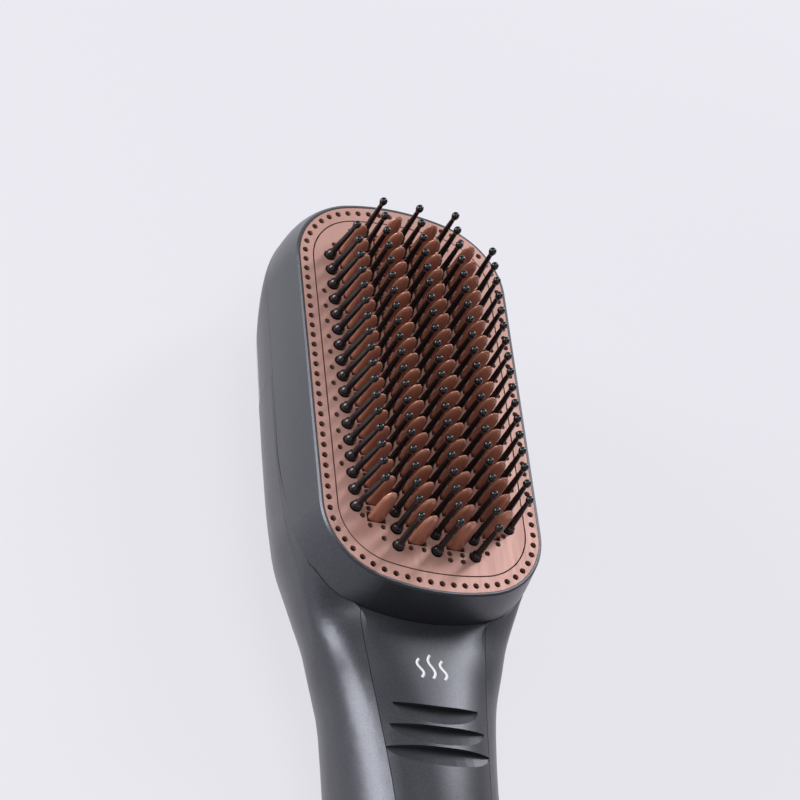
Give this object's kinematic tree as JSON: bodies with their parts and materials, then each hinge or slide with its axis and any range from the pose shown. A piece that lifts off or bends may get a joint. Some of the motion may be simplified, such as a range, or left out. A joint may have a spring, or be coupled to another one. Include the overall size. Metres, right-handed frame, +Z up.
{
  "type": "steam hair straightener brush",
  "caption": "Paddle-shaped steam straightening brush with a heated comb plate, ball-tipped bristles, rim outlets and a round handle with push buttons",
  "frame": {"origin": "on the table, under the middle of the bristle plate, in the flat land of the rear shell", "axes": "+X to the right across the brush, +Y from the handle to the head's tip, +Z up out of the bristle side"},
  "size_m": [0.0714, 0.3395, 0.0746],
  "materials": {
    "housing_grey": "satin metallic paint",
    "cover_grey": "satin metallic paint",
    "rose_plate": "satin rose gold",
    "copper_fins": "glossy copper coating",
    "bristle_black": "glossy black",
    "seal_rubber": "matt",
    "heat_resin": "matt",
    "aluminium": "rolled",
    "ceramic_white": "fired ceramic",
    "steel": "zinc plated",
    "brass": "turned",
    "silicone": "translucent silicone",
    "pump_grey": "moulded",
    "board_green": "solder mask",
    "smoke_clear": "smoked clear plastic",
    "lens_clear": "clear plastic",
    "button_grey": "satin"
  },
  "bodies": {
    "brush": {"vent_ring": "rose_plate", "vent_plate": "rose_plate", "plate_gasket": "seal_rubber", "rim_gasket": "seal_rubber", "bristle_strip_left": "bristle_black", "bristle_strip_mid_left": "bristle_black", "bristle_strip_centre": "bristle_black", "bristle_strip_mid_right": "bristle_black", "bristle_strip_right": "bristle_black", "heat_comb_left": "copper_fins", "heat_comb_mid_left": "copper_fins", "heat_comb_mid_right": "copper_fins", "heat_comb_right": "copper_fins", "steam_pan": "heat_resin", "heat_tray": "aluminium", "ptc_heater_left": "ceramic_white", "ptc_heater_right": "ceramic_white", "heater_clamp": "steel", "clamp_screws": "steel", "tray_screws": "steel", "thermistor": "ceramic_white", "thermal_fuse": "steel", "steam_nozzle": "brass", "steam_hose": "silicone", "evaporator": "aluminium", "water_pump": "pump_grey", "pump_hose": "silicone", "water_hose": "silicone", "valve_socket": "pump_grey", "valve_seal": "seal_rubber", "ion_module": "pump_grey", "needle_holder": "ceramic_white", "ion_needle": "steel", "control_board": "board_green", "board_screws": "steel", "indicator_lens": "lens_clear", "front_housing": "housing_grey", "rear_shell": "housing_grey", "handle_cover": "cover_grey", "handle_screws": "steel", "end_cap": "housing_grey"},
    "tank": {"water_tank": "smoke_clear", "tank_valve": "pump_grey"},
    "plug": {"filler_plug": "seal_rubber"},
    "steam_key": {"steam_button": "button_grey"},
    "temperature_key": {"temperature_button": "button_grey"},
    "power_key": {"power_button": "button_grey"},
    "swivel": {"cord_swivel": "bristle_black"}
  },
  "joints": [
    {"name": "tank_slide", "type": "slide", "parent": "brush", "child": "tank", "axis": [0, 1, 0], "range_m": [0, 0.015]},
    {"name": "plug_pull", "type": "slide", "parent": "tank", "child": "plug", "axis": [0, -1, 0], "range_m": [0, 0.006]},
    {"name": "steam_press", "type": "slide", "parent": "brush", "child": "steam_key", "axis": [0, 0, -1], "range_m": [0, 0.0008], "stiffness_N_per_m": 1500, "springref_m": -0.0006},
    {"name": "temperature_press", "type": "slide", "parent": "brush", "child": "temperature_key", "axis": [0, 0, -1], "range_m": [0, 0.0008], "stiffness_N_per_m": 1500, "springref_m": -0.0006},
    {"name": "power_press", "type": "slide", "parent": "brush", "child": "power_key", "axis": [0, 0, -1], "range_m": [0, 0.0008], "stiffness_N_per_m": 1500, "springref_m": -0.0006},
    {"name": "cord_swivel_turn", "type": "hinge", "parent": "brush", "child": "swivel", "pos_m": [0, -0.2459, 0.0265], "axis": [0, 1, 0], "continuous": true}
  ]
}
